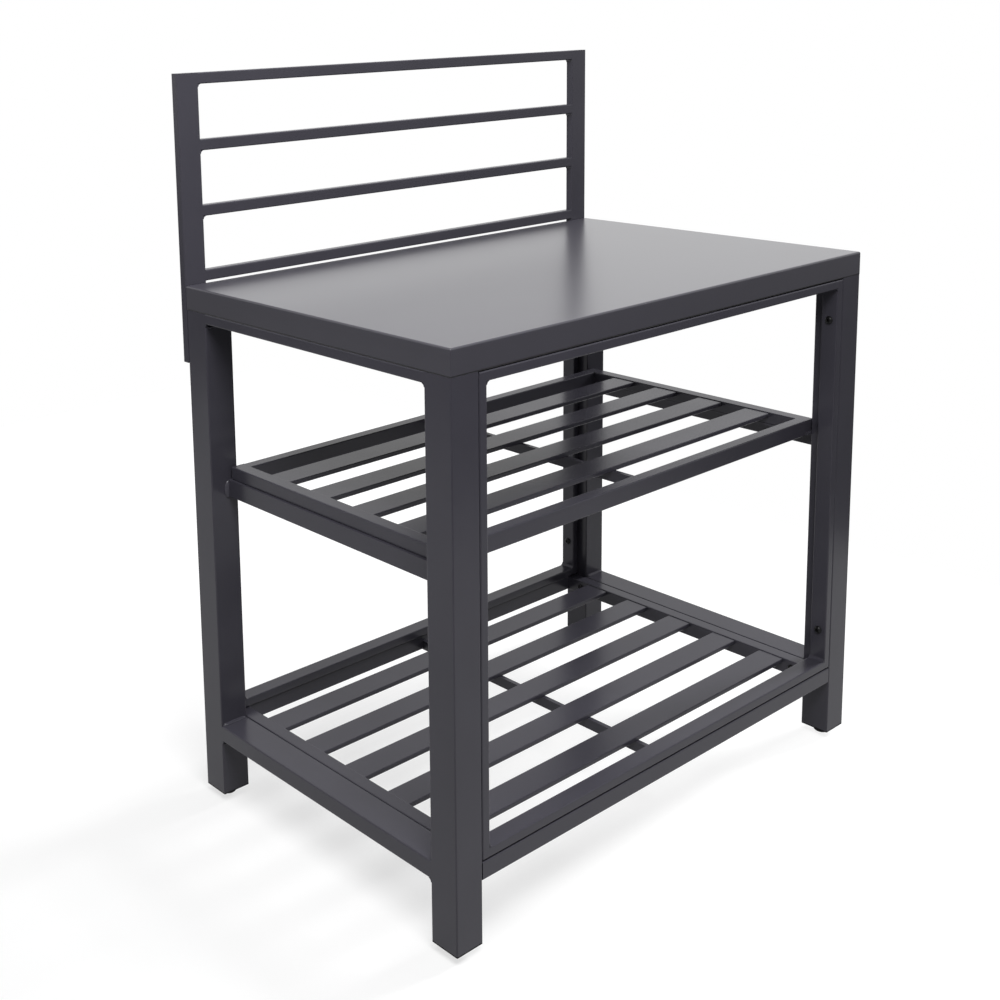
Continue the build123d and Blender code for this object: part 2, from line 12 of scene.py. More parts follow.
import bpy
import numpy as np
from mathutils import Matrix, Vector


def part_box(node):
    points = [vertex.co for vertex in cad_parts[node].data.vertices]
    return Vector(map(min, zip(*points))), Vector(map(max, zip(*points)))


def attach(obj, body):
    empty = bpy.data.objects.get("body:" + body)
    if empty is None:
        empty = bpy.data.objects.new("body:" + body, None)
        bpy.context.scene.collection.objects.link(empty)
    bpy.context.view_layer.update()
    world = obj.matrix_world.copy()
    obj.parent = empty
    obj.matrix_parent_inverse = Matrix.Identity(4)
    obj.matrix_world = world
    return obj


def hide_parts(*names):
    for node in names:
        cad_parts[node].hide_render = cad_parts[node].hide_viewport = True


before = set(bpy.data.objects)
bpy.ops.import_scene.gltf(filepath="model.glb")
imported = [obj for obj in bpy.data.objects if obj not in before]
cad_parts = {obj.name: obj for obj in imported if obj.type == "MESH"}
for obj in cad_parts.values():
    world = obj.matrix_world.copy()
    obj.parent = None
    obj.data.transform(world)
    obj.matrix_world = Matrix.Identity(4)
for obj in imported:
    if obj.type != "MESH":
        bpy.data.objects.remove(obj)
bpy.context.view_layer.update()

LOG = logging.getLogger("prep_table")

Vector3 = tuple[float, float, float]
Colour = tuple[float, float, float]
Span = tuple[float, float]
Socket = bpy.types.NodeSocket

NOISE_SPAN: Span = (0.3, 0.7)
QUARTER_TURN = math.pi / 2.0
FULL_TURN = 2.0 * math.pi


class Side(Enum):
    """End of the table that a piece belongs to, seen from the front."""

    LEFT = "left"
    RIGHT = "right"

    @property
    def outward(self) -> float:
        """Sign of the X axis that points away from the table at this end."""
        return -1.0 if self is Side.LEFT else 1.0


class Row(Enum):
    """Front or rear row of legs."""

    FRONT = "front"
    REAR = "rear"

    @property
    def inward(self) -> float:
        """Sign of the Y axis that points from this row to the middle of the table."""
        return 1.0 if self is Row.FRONT else -1.0


class Nodes:
    """A node tree, with short ways to add nodes and to link them."""

    def __init__(self, tree: bpy.types.NodeTree) -> None:
        """Take a tree and clear it."""
        self.tree = tree
        self.tree.nodes.clear()

    def add(self, kind: str) -> bpy.types.Node:
        """Add one node of the given kind."""
        return self.tree.nodes.new(kind)

    def join(self, source: Socket, target: Socket) -> None:
        """Link one socket to another."""
        self.tree.links.new(source, target)

    def reckon(self, operation: str, *terms: Socket | float) -> Socket:
        """Add a Math node.

        Args:
            operation: what the node does.
            terms: its inputs in order, sockets or numbers.

        Returns:
            The socket of the result.
        """
        node = self.add("ShaderNodeMath")
        node.operation = operation
        for term, target in zip(terms, node.inputs):
            if isinstance(term, Socket):
                self.join(term, target)
            else:
                target.default_value = term
        return node.outputs["Value"]

    def carry(self, value: Socket, span: Span, result: Span, smooth: bool = False) -> Socket:
        """Carry a value from one range to another, held at the ends.

        Args:
            value: the value's socket.
            span: its range.
            result: the range of the result.
            smooth: whether the result follows a smooth step rather than a straight line.

        Returns:
            The socket of the result.
        """
        node = self.add("ShaderNodeMapRange")
        if smooth:
            node.interpolation_type = "SMOOTHSTEP"
        for name, number in zip(("From Min", "From Max", "To Min", "To Max"), (*span, *result)):
            node.inputs[name].default_value = number
        self.join(value, node.inputs["Value"])
        return node.outputs["Result"]


class NodeGraph(Nodes):
    """Nodes of one procedural material, all read on Object coordinates."""

    # core width and depth of the painted seam shadow
    seam_core: float = 0.5
    seam_shade: float = 0.1

    def __init__(self, name: str) -> None:
        """Start a material with a Principled shader.

        Args:
            name: the material's name.
        """
        self.material = bpy.data.materials.new(name)
        self.material.use_nodes = True
        super().__init__(self.material.node_tree)
        output = self.add("ShaderNodeOutputMaterial")
        self.shader = self.add("ShaderNodeBsdfPrincipled")
        self.place = self.add("ShaderNodeTexCoord").outputs["Object"]
        self.join(self.shader.outputs["BSDF"], output.inputs["Surface"])

    def settle(self, numbers: dict[str, float]) -> None:
        """Set numbers on the shader's own sockets, which are given by name."""
        for name, number in numbers.items():
            self.shader.inputs[name].default_value = number

    def noise(self, size: float, detail: float, stretch: Vector3 = (1.0, 1.0, 1.0)) -> Socket:
        """Add a noise pattern.

        Args:
            size: length of one lump of the noise in metres.
            detail: octaves of finer noise on top.
            stretch: factor by which the pattern is squeezed along each axis.

        Returns:
            The socket of the noise, about 0 to 1.
        """
        mapping = self.add("ShaderNodeMapping")
        mapping.inputs["Scale"].default_value = stretch
        self.join(self.place, mapping.inputs["Vector"])
        noise = self.add("ShaderNodeTexNoise")
        noise.inputs["Scale"].default_value = 1.0 / size
        noise.inputs["Detail"].default_value = detail
        self.join(mapping.outputs["Vector"], noise.inputs["Vector"])
        return noise.outputs["Fac"]

    def cells(self, size: float) -> Socket:
        """Add a pattern of rounded cells.

        Args:
            size: width of one cell in metres.

        Returns:
            The socket of the distance from each cell's middle.
        """
        cells = self.add("ShaderNodeTexVoronoi")
        cells.feature = "SMOOTH_F1"
        cells.inputs["Scale"].default_value = 1.0 / size
        self.join(self.place, cells.inputs["Vector"])
        return cells.outputs["Distance"]

    def gloss(self, value: Socket, roughness: float, swing: float) -> None:
        """Let the roughness vary by a noise.

        Args:
            value: the noise's socket.
            roughness: mean roughness.
            swing: what the top of the noise's span adds to it and the bottom takes away.
        """
        rough = self.carry(value, NOISE_SPAN, (roughness - swing, roughness + swing))
        self.join(rough, self.shader.inputs["Roughness"])

    def shade(self, value: Socket, colour: Colour, swing: float) -> None:
        """Let the base colour vary by a noise.

        Args:
            value: the noise's socket.
            colour: mean colour.
            swing: share of the colour that is added and taken away.
        """
        ramp = self.add("ShaderNodeValToRGB")
        shares = (1.0 - swing, 1.0 + swing)
        for stop, position, share in zip(ramp.color_ramp.elements, NOISE_SPAN, shares):
            stop.position = position
            stop.color = (*(min(1.0, part * share) for part in colour), 1.0)
        self.join(value, ramp.inputs["Fac"])
        self.join(ramp.outputs["Color"], self.shader.inputs["Base Color"])

    def paint_seam_shadow(self, low: float, high: float) -> None:
        """Darken the base colour in a level band: a painted shadow, the shade that falls in a seam.

        The colour is scaled by the seam's shade over the core of the band, and rises from there to its
        own value at the edges.

        Args:
            low: height of the band's lower edge.
            high: height of its upper edge.
        """
        # painted shadow: the base colour is darkened at the seam's height
        parts = self.add("ShaderNodeSeparateXYZ")
        self.join(self.place, parts.inputs["Vector"])
        across = self.carry(parts.outputs["Z"], (low, high), (-1.0, 1.0))
        level = self.carry(self.reckon("ABSOLUTE", across), (self.seam_core, 1.0), (self.seam_shade, 1.0))
        dark = self.add("ShaderNodeVectorMath")
        dark.operation = "SCALE"
        base = self.shader.inputs["Base Color"]
        self.join(base.links[0].from_socket, dark.inputs[0])
        self.join(level, dark.inputs["Scale"])
        self.join(dark.outputs["Vector"], base)

    def bumps(self, layers: Sequence[tuple[Socket, float]]) -> None:
        """Stack bumps on the surface's normal.

        Args:
            layers: each layer's pattern and its height in metres.
        """
        normal = None
        for pattern, height in layers:
            bump = self.add("ShaderNodeBump")
            bump.inputs["Strength"].default_value = 1.0
            bump.inputs["Distance"].default_value = height
            self.join(pattern, bump.inputs["Height"])
            if normal is not None:
                self.join(normal, bump.inputs["Normal"])
            normal = bump.outputs["Normal"]
        self.join(normal, self.shader.inputs["Normal"])


class Finish(Protocol):
    """A finish that can make its material."""

    name: str
    slot: str

    def material(self) -> bpy.types.Material:
        """Make the finish's material."""


@dataclass(frozen=True)
class PowderCoat:
    """Satin powder coat: an orange peel of soft lumps with fine grains of powder in it.

    A seam is the lowest and highest level of a painted shadow line on the coat, where shade falls in a
    joint.
    """

    name: str
    slot: str
    colour: Colour
    roughness: float = 0.24
    roughness_swing: float = 0.02
    shade_swing: float = 0.05
    index: float = 1.3
    clear_coat: float = 0.0
    peel_size: float = 0.0021
    peel_height: float = 0.000020
    grain_size: float = 0.0005
    grain_height: float = 0.000004
    cloud_size: float = 0.11
    gloss_cloud_size: float = 0.066
    # heights of the painted seam shadow, if any
    seam: Span | None = None

    def material(self) -> bpy.types.Material:
        """Make the coat's material: slow clouds of shade and gloss, a painted seam shadow where a seam is
        given, peel and grain in the normal.
        """
        graph = NodeGraph(self.name)
        graph.shade(graph.noise(self.cloud_size, detail=3.0), self.colour, self.shade_swing)
        # painted shadow in the seam, where one is given
        if self.seam:
            graph.paint_seam_shadow(*self.seam)
        graph.settle(
            {
                "Roughness": self.roughness,
                "IOR": self.index,
                "Coat Weight": self.clear_coat,
                "Coat Roughness": self.roughness,
                "Coat IOR": self.index,
            }
        )
        if self.roughness_swing > 0.0:
            clouds = graph.noise(self.gloss_cloud_size, detail=4.0)
            graph.gloss(clouds, self.roughness, self.roughness_swing)
        peel = graph.noise(self.peel_size, detail=1.0)
        grain = graph.noise(self.grain_size, detail=2.0)
        graph.bumps(((peel, self.peel_height), (grain, self.grain_height)))
        return graph.material


@dataclass(frozen=True)
class MouldedPlastic:
    """Black moulded plastic: a spark-eroded grain with a faint flow pattern in its gloss."""

    name: str
    slot: str
    colour: Colour
    index: float
    roughness: float = 0.55
    roughness_swing: float = 0.06
    shade_swing: float = 0.12
    flow_size: float = 0.012
    flow_stretch: Vector3 = (1.0, 1.0, 0.35)
    pit_size: float = 0.0007
    pit_height: float = 0.00003
    grain_size: float = 0.0003
    grain_height: float = 0.000006

    def material(self) -> bpy.types.Material:
        """Make the plastic's material: cell-shaped pits, flow streaks in shade and gloss."""
        graph = NodeGraph(self.name)
        flow = graph.noise(self.flow_size, 3.0, self.flow_stretch)
        graph.shade(flow, self.colour, self.shade_swing)
        graph.gloss(flow, self.roughness, self.roughness_swing)
        grain = graph.noise(self.grain_size, detail=2.0)
        graph.bumps(((graph.cells(self.pit_size), self.pit_height), (grain, self.grain_height)))
        graph.settle({"IOR": self.index})
        return graph.material


@dataclass(frozen=True)
class PlatedSteel:
    """Steel of small fasteners, oxidised or plated: fine turning marks and a patchy gloss."""

    name: str
    slot: str
    colour: Colour
    metallic: float
    roughness: float
    index: float
    patch_swing: float
    patch_size: float = 0.004
    roughness_swing: float = 0.08
    mark_size: float = 0.0006
    mark_stretch: Vector3 = (1.0, 1.0, 4.0)
    mark_height: float = 0.000012

    def material(self) -> bpy.types.Material:
        """Make the steel's material: light patches are smoother, turning marks are in the normal."""
        graph = NodeGraph(self.name)
        patches = graph.noise(self.patch_size, detail=4.0)
        graph.shade(patches, self.colour, self.patch_swing)
        graph.gloss(patches, self.roughness, -self.roughness_swing)
        graph.bumps(((graph.noise(self.mark_size, 2.0, self.mark_stretch), self.mark_height),))
        graph.settle({"Metallic": self.metallic, "IOR": self.index})
        return graph.material


GRAPHITE = PowderCoat("graphite_powder_coat", "powder_coat", (0.046, 0.044, 0.056))
WORKTOP_COAT = PowderCoat(
    "worktop_powder_coat",
    "worktop_coat",
    (0.046, 0.044, 0.055),
    roughness=0.28,
    roughness_swing=0.0,
    shade_swing=0.03,
    clear_coat=0.85,
    peel_size=0.0026,
    peel_height=0.000012,
    grain_height=0.000002,
    # painted shadow in the seam between the skirt and the legs and end rails below it
    seam=(0.863, 0.865),
)
BLACK_PLASTIC = MouldedPlastic("black_plastic", "black_plastic", (0.006, 0.006, 0.0065), index=1.15)
FOOT_PLASTIC = MouldedPlastic("foot_plastic", "foot_plastic", (0.006, 0.006, 0.0065), index=1.2)
BLACK_STEEL = PlatedSteel(
    "black_oxide_steel",
    "black_fasteners",
    (0.005, 0.005, 0.0055),
    metallic=0.0,
    roughness=0.30,
    index=1.25,
    patch_swing=0.30,
)
ZINC = PlatedSteel(
    "zinc_plate",
    "zinc_nuts",
    (0.52, 0.52, 0.53),
    metallic=1.0,
    roughness=0.34,
    index=1.5,
    patch_swing=0.10,
)


class FinishRack:
    """Keeps one material for each finish."""

    def __init__(self) -> None:
        """Start with no material made."""
        self.made: dict[str, bpy.types.Material] = {}

    def material(self, finish: Finish) -> bpy.types.Material:
        """Give the finish's material, made at its first use.

        Args:
            finish: the finish that is asked for.

        Returns:
            The material that every piece of this finish shares.
        """
        if finish.name not in self.made:
            self.made[finish.name] = finish.material()
        return self.made[finish.name]

    def dress_nodes(self, nodes: Iterable[str], finish: Finish) -> None:
        """Put a finish on CAD nodes.

        Args:
            nodes: the nodes' names.
            finish: the finish that they get.
        """
        for node in nodes:
            node_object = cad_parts[node]
            if node_object.material_slots:
                for slot in node_object.material_slots:
                    slot.material = self.material(finish)
            else:
                node_object.data.materials.append(self.material(finish))
            LOG.info("node %s: %s", node, finish.name)

    def dress_piece(self, piece: bpy.types.Object, finish: Finish) -> None:
        """Put a finish on a new piece."""
        piece.data.materials.append(self.material(finish))


RACK = FinishRack()


@dataclass(frozen=True)
class Patch:
    """A grid of points over two parameters, closed round its second one and capped at both ends."""

    points: np.ndarray

    def faces(self, first: int) -> tuple[np.ndarray, list[np.ndarray]]:
        """Number the patch's faces.

        Each cell of the grid is one quad; its second index wraps round, so the section is closed. The
        first and the last ring are closed by one face each.

        Args:
            first: number of the patch's first vertex.

        Returns:
            The quads as an array of four columns, and the two caps as arrays.
        """
        rings, around = self.points.shape[:2]
        index = first + np.arange(rings * around).reshape(rings, around)
        turned = np.roll(index, -1, axis=1)
        quads = np.stack((index[:-1], turned[:-1], turned[1:], index[1:]), axis=-1).reshape(-1, 4)
        return quads, [index[0][::-1], index[-1]]


def surface_piece(name: str, patches: Sequence[Patch], body: str) -> bpy.types.Object:
    """Make one piece from patches, with smooth quads and flat caps, and let it ride on a body.

    Args:
        name: the piece's name.
        patches: its surfaces, in metres in the table's frame.
        body: the body that it moves with.

    Returns:
        The piece's object, at the origin with its place in its mesh.
    """
    clouds = [patch.points.reshape(-1, 3) for patch in patches]
    starts = np.cumsum([0] + [len(cloud) for cloud in clouds])
    points = np.concatenate(clouds)
    numbered = [patch.faces(int(start)) for patch, start in zip(patches, starts)]
    quads = np.concatenate([quad for quad, _ in numbered])
    caps = [cap for _, both in numbered for cap in both]
    loops = np.concatenate([quads.ravel()] + caps)
    totals = np.concatenate((np.full(len(quads), 4), [len(cap) for cap in caps]))
    mesh = bpy.data.meshes.new(name)
    mesh.vertices.add(len(points))
    mesh.vertices.foreach_set("co", points.astype(np.float32).ravel())
    mesh.loops.add(len(loops))
    mesh.loops.foreach_set("vertex_index", loops.astype(np.int32))
    mesh.polygons.add(len(totals))
    mesh.polygons.foreach_set("loop_start", (np.cumsum(totals) - totals).astype(np.int32))
    mesh.polygons.foreach_set("loop_total", totals.astype(np.int32))
    mesh.polygons.foreach_set("use_smooth", np.arange(len(totals)) < len(quads))
    mesh.update(calc_edges=True)
    mesh.validate()
    piece = bpy.data.objects.new(name, mesh)
    bpy.context.scene.collection.objects.link(piece)
    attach(piece, body)
    LOG.info("piece %s: %d faces on %s", name, len(totals), body)
    return piece


@dataclass(frozen=True)
class WeldBead:
    """A rippled fillet weld in the corner of two faces at right angles.

    Attributes:
        start: one end of the corner's line.
        end: the other end of it.
        along_first: unit vector on the first face, away from the corner.
        along_second: unit vector on the second face, away from the corner.
        first_leg: width of the weld on the first face.
        second_leg: width of the weld on the second face.
        pitch: length of one ripple.
        ripple_depth: share of the width that a ripple takes away.
        ripple_lag: share of a ripple by which its middle lags behind its sides.
        flatness: share of the width that is missing in the middle of the section.
        run_out: length of each end's half ellipse, in widths of the weld.
        tip: square of the share of the width that is left at the very end.
        sink: depth of the corner point in the metal.
        ease: share of the stations' spacing that narrows towards the ends.
        ripple_stations: stations along one ripple.
        least_stations: stations of the shortest bead.
        across: points over the section's curve.
    """

    start: Vector3
    end: Vector3
    along_first: Vector3
    along_second: Vector3
    first_leg: float
    second_leg: float
    pitch: float = 0.0024
    ripple_depth: float = 0.0625
    ripple_lag: float = 0.45
    flatness: float = 0.16
    run_out: float = 2.0
    tip: float = 0.03
    sink: float = 0.0001
    ease: float = 0.35
    ripple_stations: float = 7.0
    least_stations: int = 24
    across: int = 10

    @classmethod
    def stitch(cls, middle: Vector3, length: float, outward: float, leg: float) -> "WeldBead":
        """Place a short bead along Y under a level face.

        Args:
            middle: middle of the corner's line.
            length: length of the bead.
            outward: sign of the X axis that points from the corner over the level face.
            leg: width of the weld on both faces.

        Returns:
            The bead.
        """
        x, y, z = middle
        half = length / 2.0
        return cls((x, y - half, z), (x, y + half, z), (outward, 0.0, 0.0), (0.0, 0.0, -1.0), leg, leg)

    def patch(self) -> Patch:
        """Work out the bead's surface.

        A section is carried along the corner's line. At the angle a from the first face it is an ellipse
        of the two legs, flattened by the flatness times the sine of 2a. Ripples shorten it by their depth
        times the square of one minus the absolute sine of the distance over the pitch, and lag in the
        middle of the bead, so that they look like crescents. Both ends run out as a half ellipse.

        Returns:
            The closed surface; its corner point lies in the metal.
        """
        start, end = np.array(self.start), np.array(self.end)
        length = float(np.linalg.norm(end - start))
        stations = max(self.least_stations, int(length / self.pitch * self.ripple_stations))
        eased = 0.5 - 0.5 * np.cos(np.linspace(0.0, math.pi, stations))
        along = (eased * self.ease + np.linspace(0.0, 1.0, stations) * (1.0 - self.ease)) * length
        angle = np.linspace(0.0, QUARTER_TURN, self.across)
        bulge = np.sin(2.0 * angle)
        to_end = np.minimum(along, length - along)
        rise = np.minimum(1.0, to_end / (self.run_out * max(self.first_leg, self.second_leg)))
        size = np.sqrt(np.clip(1.0 - (1.0 - rise) ** 2, self.tip, 1.0))
        wave = np.abs(np.sin(math.pi * (along[:, None] / self.pitch - self.ripple_lag * bulge[None, :])))
        ripple = 1.0 - (1.0 - wave) ** 2 * self.ripple_depth
        radial = size[:, None] * ripple * (1.0 - self.flatness * bulge)[None, :]
        sunk = np.full((stations, 1), -self.sink)
        first = np.concatenate((self.first_leg * radial * np.cos(angle)[None, :], sunk), axis=1)
        second = np.concatenate((self.second_leg * radial * np.sin(angle)[None, :], sunk), axis=1)
        line = start + (end - start) * (along / length)[:, None]
        points = (
            line[:, None, :]
            + first[..., None] * np.array(self.along_first)
            + second[..., None] * np.array(self.along_second)
        )
        turn = np.dot(np.cross(self.along_first, self.along_second), end - start)
        return Patch(points if turn > 0.0 else points[:, ::-1])


def weld_piece(name: str, beads: Sequence[WeldBead], body: str = "frame") -> bpy.types.Object:
    """Make one powder coated piece of several weld beads.

    Args:
        name: the piece's name.
        beads: its beads.
        body: the body that it moves with.

    Returns:
        The piece's object.
    """
    piece = surface_piece(name, [bead.patch() for bead in beads], body)
    RACK.dress_piece(piece, GRAPHITE)
    return piece


class SubAssembly:
    """A group of pieces that are built and dressed together."""

    title = "sub-assembly"

    def build(self) -> list[bpy.types.Object]:
        """Make the group's new pieces; a group with none gives an empty list."""
        return []

    def dress(self) -> None:
        """Put the finishes on the group's nodes and pieces."""
        raise NotImplementedError


@dataclass
class Worktop(SubAssembly):
    """Folded worktop with the two channels that stiffen it."""

    title = "worktop"
    channels: tuple[str, ...] = ("worktop_stiffener_1", "worktop_stiffener_2")
    stitches: int = 5
    stitch_length: float = 0.026
    stitch_leg: float = 0.0028
    stitch_margin: float = 0.05

    def build(self) -> list[bpy.types.Object]:
        """Make the stitch welds that hold the channels to the sheet.

        Returns:
            One piece with all the stitches, evenly spaced along both sides of each channel.
        """
        beads = []
        for node in self.channels:
            low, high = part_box(node)
            middles = np.linspace(low.y + self.stitch_margin, high.y - self.stitch_margin, self.stitches)
            for x, outward in ((low.x, -1.0), (high.x, 1.0)):
                for y in middles:
                    middle = (x, y, high.z)
                    beads.append(WeldBead.stitch(middle, self.stitch_length, outward, self.stitch_leg))
        return [weld_piece("stiffener_welds", beads)]

    def dress(self) -> None:
        """Coat the worktop and its channels."""
        RACK.dress_nodes(["worktop"], WORKTOP_COAT)
        RACK.dress_nodes(self.channels, GRAPHITE)


@dataclass
class EndFrames(SubAssembly):
    """Two welded ends: two legs each, with a top rail, a shelf support and a bottom rail between them."""

    title = "end frames"
    rail_leg: float = 0.0042
    rail_edge: float = 0.0025
    support_width: float = 0.0085
    support_leg: float = 0.0045
    support_foot: float = 0.001
    support_head: float = 0.002
    support_pitch: float = 0.0032

    def leg_face(self, side: Side, row: Row) -> float:
        """Give the place along Y of the face of one leg that its end's rails meet."""
        low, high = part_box(f"leg_{row.value}_{side.value}")
        return high.y if row is Row.FRONT else low.y

    def rail_beads(self, side: Side, row: Row) -> list[WeldBead]:
        """Place the fillets where the rails of one end meet one leg.

        Args:
            side: the end.
            row: the leg's row.

        Returns:
            Beads on the top and the underside of the bottom rail and under the top rail.
        """
        face = self.leg_face(side, row)
        beads = []
        for rail, upward in (("bottom", 1.0), ("bottom", -1.0), ("top", -1.0)):
            low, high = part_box(f"end_{rail}_rail_{side.value}")
            z = high.z if upward > 0.0 else low.z
            beads.append(
                WeldBead(
                    (low.x + self.rail_edge, face, z),
                    (high.x - self.rail_edge, face, z),
                    (0.0, row.inward, 0.0),
                    (0.0, 0.0, upward),
                    self.rail_leg,
                    self.rail_leg,
                )
            )
        return beads

    def support_bead(self, side: Side, row: Row) -> WeldBead:
        """Place the upright fillet where a shelf support meets one leg.

        Args:
            side: the end.
            row: the leg's row.

        Returns:
            The bead beside the support's outer face.
        """
        face = self.leg_face(side, row)
        low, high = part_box(f"shelf_support_{side.value}")
        x = low.x if side is Side.LEFT else high.x
        return WeldBead(
            (x, face, low.z + self.support_foot),
            (x, face, high.z - self.support_head),
            (side.outward, 0.0, 0.0),
            (0.0, row.inward, 0.0),
            self.support_width,
            self.support_leg,
            self.support_pitch,
        )

    def build(self) -> list[bpy.types.Object]:
        """Make the weld beads of both ends.

        Returns:
            One piece for each end.
        """
        pieces = []
        for side in Side:
            beads = []
            for row in Row:
                beads.extend(self.rail_beads(side, row))
                beads.append(self.support_bead(side, row))
            pieces.append(weld_piece(f"end_frame_welds_{side.value}", beads))
        return pieces

    def dress(self) -> None:
        """Coat the tubes, and give the caps their plastic."""
        for side in Side:
            nodes = [f"leg_{row.value}_{side.value}" for row in Row]
            bars = ("end_top_rail", "end_bottom_rail", "shelf_support")
            nodes += [f"{bar}_{side.value}" for bar in bars]
            RACK.dress_nodes(nodes, GRAPHITE)
        RACK.dress_nodes(["leg_end_caps"], BLACK_PLASTIC)


@dataclass
class BoltedFrames(SubAssembly):
    """Front and rear frames of four mitred bars, bolted between the legs."""

    title = "front and rear frames"
    bars: tuple[str, ...] = ("stile_left", "stile_right", "top_rail", "bottom_rail")

    def dress(self) -> None:
        """Coat both frames."""
        RACK.dress_nodes([f"{row.value}_frame_{bar}" for row in Row for bar in self.bars], GRAPHITE)


@dataclass
class SlattedShelf(SubAssembly):
    """A shelf of slats in a frame of four rails, with a centre bar under the slats."""

    prefix: str
    slats: int
    body: str
    end_leg: float = 0.003
    end_length: float = 0.034
    tack_leg: float = 0.0026
    tack_length: float = 0.014

    @property
    def title(self) -> str:
        """Name of the shelf in plain words."""
        return self.prefix.replace("_", " ")

    def slat_beads(self, number: int) -> list[WeldBead]:
        """Place the welds under one slat.

        Args:
            number: the slat's number, from the front.

        Returns:
            A fillet at each end, and a tack at each side of the centre bar.
        """
        low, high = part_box(f"{self.prefix}_slat_{number}")
        bar_low, bar_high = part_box(f"{self.prefix}_centre_bar")
        y = (low.y + high.y) / 2.0
        lines = (
            (low.x, 1.0, self.end_leg, self.end_length),
            (high.x, -1.0, self.end_leg, self.end_length),
            (bar_low.x, -1.0, self.tack_leg, self.tack_length),
            (bar_high.x, 1.0, self.tack_leg, self.tack_length),
        )
        return [WeldBead.stitch((x, y, low.z), length, outward, leg) for x, outward, leg, length in lines]

    def build(self) -> list[bpy.types.Object]:
        """Make the welds under all the slats.

        Returns:
            One piece.
        """
        beads = [bead for number in range(1, self.slats + 1) for bead in self.slat_beads(number)]
        return [weld_piece(f"{self.prefix}_welds", beads, self.body)]

    def dress(self) -> None:
        """Coat the rails, the slats and the centre bar."""
        nodes = [f"{self.prefix}_{rail}_rail" for rail in ("front", "rear", "left", "right")]
        nodes += [f"{self.prefix}_slat_{number}" for number in range(1, self.slats + 1)]
        RACK.dress_nodes(nodes + [f"{self.prefix}_centre_bar"], GRAPHITE)


@dataclass
class Backsplash(SubAssembly):
    """Two uprights behind the worktop with four rails between them."""

    title = "backsplash"
    rails: int = 4

    def dress(self) -> None:
        """Coat the uprights and the rails."""
        nodes = [f"backsplash_upright_{side.value}" for side in Side]
        nodes += [f"backsplash_rail_{number}" for number in range(1, self.rails + 1)]
        RACK.dress_nodes(nodes, GRAPHITE)


